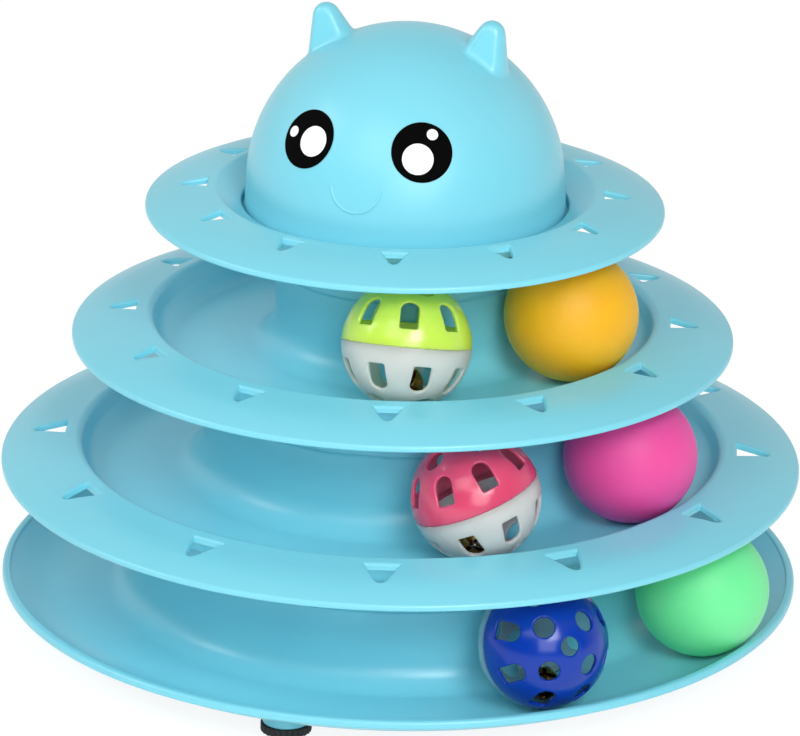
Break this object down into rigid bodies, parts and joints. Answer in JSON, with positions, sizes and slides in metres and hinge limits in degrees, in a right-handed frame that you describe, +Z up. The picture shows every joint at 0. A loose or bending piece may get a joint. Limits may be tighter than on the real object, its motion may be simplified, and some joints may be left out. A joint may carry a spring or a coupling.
{
  "type": "cat ball track toy",
  "caption": "Tower of round ball tracks stacked ring into ring, with openwork bell balls and plain balls, vented rims and a hollow cat-head dome on top.",
  "frame": {"origin": "on the floor, on the tower's axis, at the height of the feet's undersides", "axes": "+Z up along the tower's axis; -Y is the way the face looks; +X is the viewer's right when facing it"},
  "size_m": [0.2485, 0.248, 0.194],
  "materials": {
    "tower_plastic": "glossy",
    "pad_rubber": "matte",
    "eye_black": "glossy print",
    "eye_white": "glossy print",
    "orange_plastic": "satin",
    "magenta_plastic": "satin",
    "green_plastic": "satin",
    "lime_plastic": "glossy",
    "pink_plastic": "glossy",
    "blue_plastic": "glossy",
    "pale_plastic": "glossy, translucent",
    "clear_plastic": "glossy, translucent",
    "bell_steel": "bright",
    "pellet_steel": "plain"
  },
  "bodies": {
    "tray": {"base_tray": "tower_plastic", "foot_front": "pad_rubber", "foot_right": "pad_rubber", "foot_rear": "pad_rubber", "foot_left": "pad_rubber"},
    "lower": {"lower_tier": "tower_plastic"},
    "middle": {"middle_tier": "tower_plastic"},
    "crown": {"top_disc": "tower_plastic"},
    "head": {"head_dome": "tower_plastic", "left_eye": "eye_black", "right_eye": "eye_black", "left_eye_lights": "eye_white", "right_eye_lights": "eye_white"},
    "lime_bell": {"lime_ball_bell": "bell_steel"},
    "lime_shell": {"lime_half": "lime_plastic", "lime_ball_pale_half": "pale_plastic"},
    "lime_pellet": {"lime_bell_pellet": "pellet_steel"},
    "pink_bell": {"pink_ball_bell": "bell_steel"},
    "pink_shell": {"pink_half": "pink_plastic", "pink_ball_pale_half": "pale_plastic"},
    "pink_pellet": {"pink_bell_pellet": "pellet_steel"},
    "blue_bell": {"blue_ball_bell": "bell_steel"},
    "blue_shell": {"blue_half": "blue_plastic", "blue_ball_clear_half": "clear_plastic"},
    "blue_pellet": {"blue_bell_pellet": "pellet_steel"},
    "orange": {"orange_ball": "orange_plastic"},
    "magenta": {"magenta_ball": "magenta_plastic"},
    "green": {"green_ball": "green_plastic"}
  },
  "joints": [
    {"name": "lower_tier_lift", "type": "slide", "parent": "tray", "child": "lower", "axis": [0, 0, 1], "range_m": [0, 0.025]},
    {"name": "middle_tier_lift", "type": "slide", "parent": "lower", "child": "middle", "axis": [0, 0, 1], "range_m": [0, 0.025]},
    {"name": "top_disc_lift", "type": "slide", "parent": "middle", "child": "crown", "axis": [0, 0, 1], "range_m": [0, 0.025]},
    {"name": "head_lift", "type": "slide", "parent": "crown", "child": "head", "axis": [0, 0, 1], "range_m": [0, 0.02]},
    {"name": "lime_ball_orbit", "type": "hinge", "parent": "middle", "child": "lime_bell", "pos_m": [0, 0, 0.1089], "axis": [0, 0, 1], "continuous": true},
    {"name": "lime_ball_roll", "type": "hinge", "parent": "lime_bell", "child": "lime_shell", "pos_m": [0.02003, -0.05624, 0.1089], "axis": [0.3355, -0.9421, 0], "continuous": true},
    {"name": "lime_pellet_rattle", "type": "slide", "parent": "lime_bell", "child": "lime_pellet", "axis": [0, 0, 1], "range_m": [0, 0.005]},
    {"name": "pink_ball_orbit", "type": "hinge", "parent": "lower", "child": "pink_bell", "pos_m": [0, 0, 0.0679], "axis": [0, 0, 1], "continuous": true},
    {"name": "pink_ball_roll", "type": "hinge", "parent": "pink_bell", "child": "pink_shell", "pos_m": [0.04627, -0.06733, 0.0679], "axis": [0.5664, -0.8241, 0], "continuous": true},
    {"name": "pink_pellet_rattle", "type": "slide", "parent": "pink_bell", "child": "pink_pellet", "axis": [0, 0, 1], "range_m": [0, 0.005]},
    {"name": "blue_ball_orbit", "type": "hinge", "parent": "tray", "child": "blue_bell", "pos_m": [0, 0, 0.0276], "axis": [0, 0, 1], "continuous": true},
    {"name": "blue_ball_roll", "type": "hinge", "parent": "blue_bell", "child": "blue_shell", "pos_m": [0.07071, -0.0753, 0.0276], "axis": [0.6845, -0.729, 0], "continuous": true},
    {"name": "blue_pellet_rattle", "type": "slide", "parent": "blue_bell", "child": "blue_pellet", "axis": [0, 0, 1], "range_m": [0, 0.005]},
    {"name": "orange_ball_orbit", "type": "hinge", "parent": "lime_bell", "child": "orange", "pos_m": [0, 0, 0.1098], "axis": [0, 0, 1], "range_deg": [-16.4, 265.1]},
    {"name": "magenta_ball_orbit", "type": "hinge", "parent": "pink_bell", "child": "magenta", "pos_m": [0, 0, 0.0688], "axis": [0, 0, 1], "range_deg": [-12.6, 290.2]},
    {"name": "green_ball_orbit", "type": "hinge", "parent": "blue_bell", "child": "green", "pos_m": [0, 0, 0.0285], "axis": [0, 0, 1], "range_deg": [-13.4, 301.6]}
  ]
}
